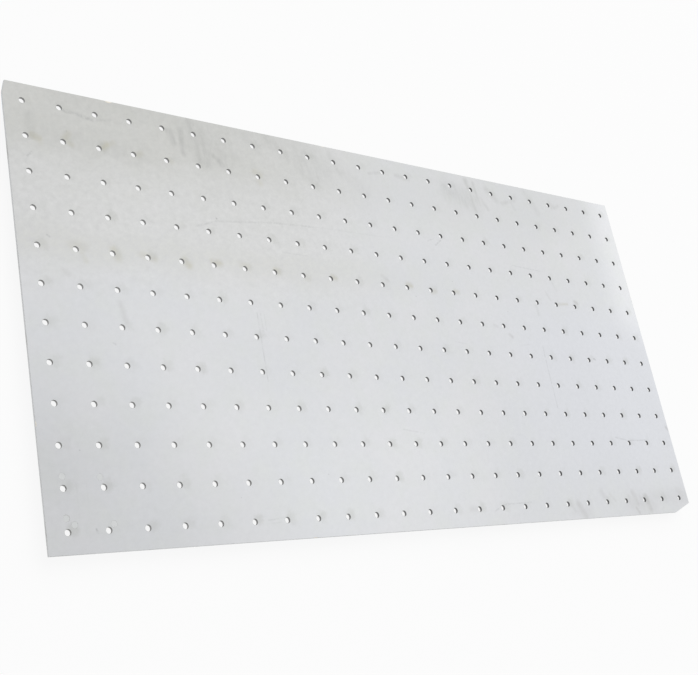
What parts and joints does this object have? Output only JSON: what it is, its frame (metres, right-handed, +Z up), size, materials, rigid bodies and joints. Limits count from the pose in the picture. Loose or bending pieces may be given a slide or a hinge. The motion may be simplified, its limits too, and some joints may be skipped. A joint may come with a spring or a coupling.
{
  "type": "scaffold plank",
  "caption": "Flat perforated scaffold deck board: crossed veneers between light grey film faces, drilled on a square grid, with painted edges and hole walls.",
  "frame": {"origin": "centre of the underside", "axes": "+X along the board, +Y across it, +Z up out of the walking face"},
  "size_m": [2.4, 1.2, 0.007],
  "materials": {
    "film": "satin light grey resin film, worn and stained",
    "veneer": "bare pale hardwood, peeled",
    "edge_paint": "matt light grey sealing paint",
    "hole_paint": "matt dark grey sealing paint",
    "filler": "matt light grey filler, rubbed flush"
  },
  "bodies": {
    "root": {"top_film": "film", "face_veneer": "veneer", "upper_cross_veneer": "veneer", "core_veneer": "veneer", "lower_cross_veneer": "veneer", "back_veneer": "veneer", "bottom_film": "film", "edge_paint": "edge_paint", "hole_paint": "hole_paint", "repair_plugs": "filler"}
  },
  "joints": []
}
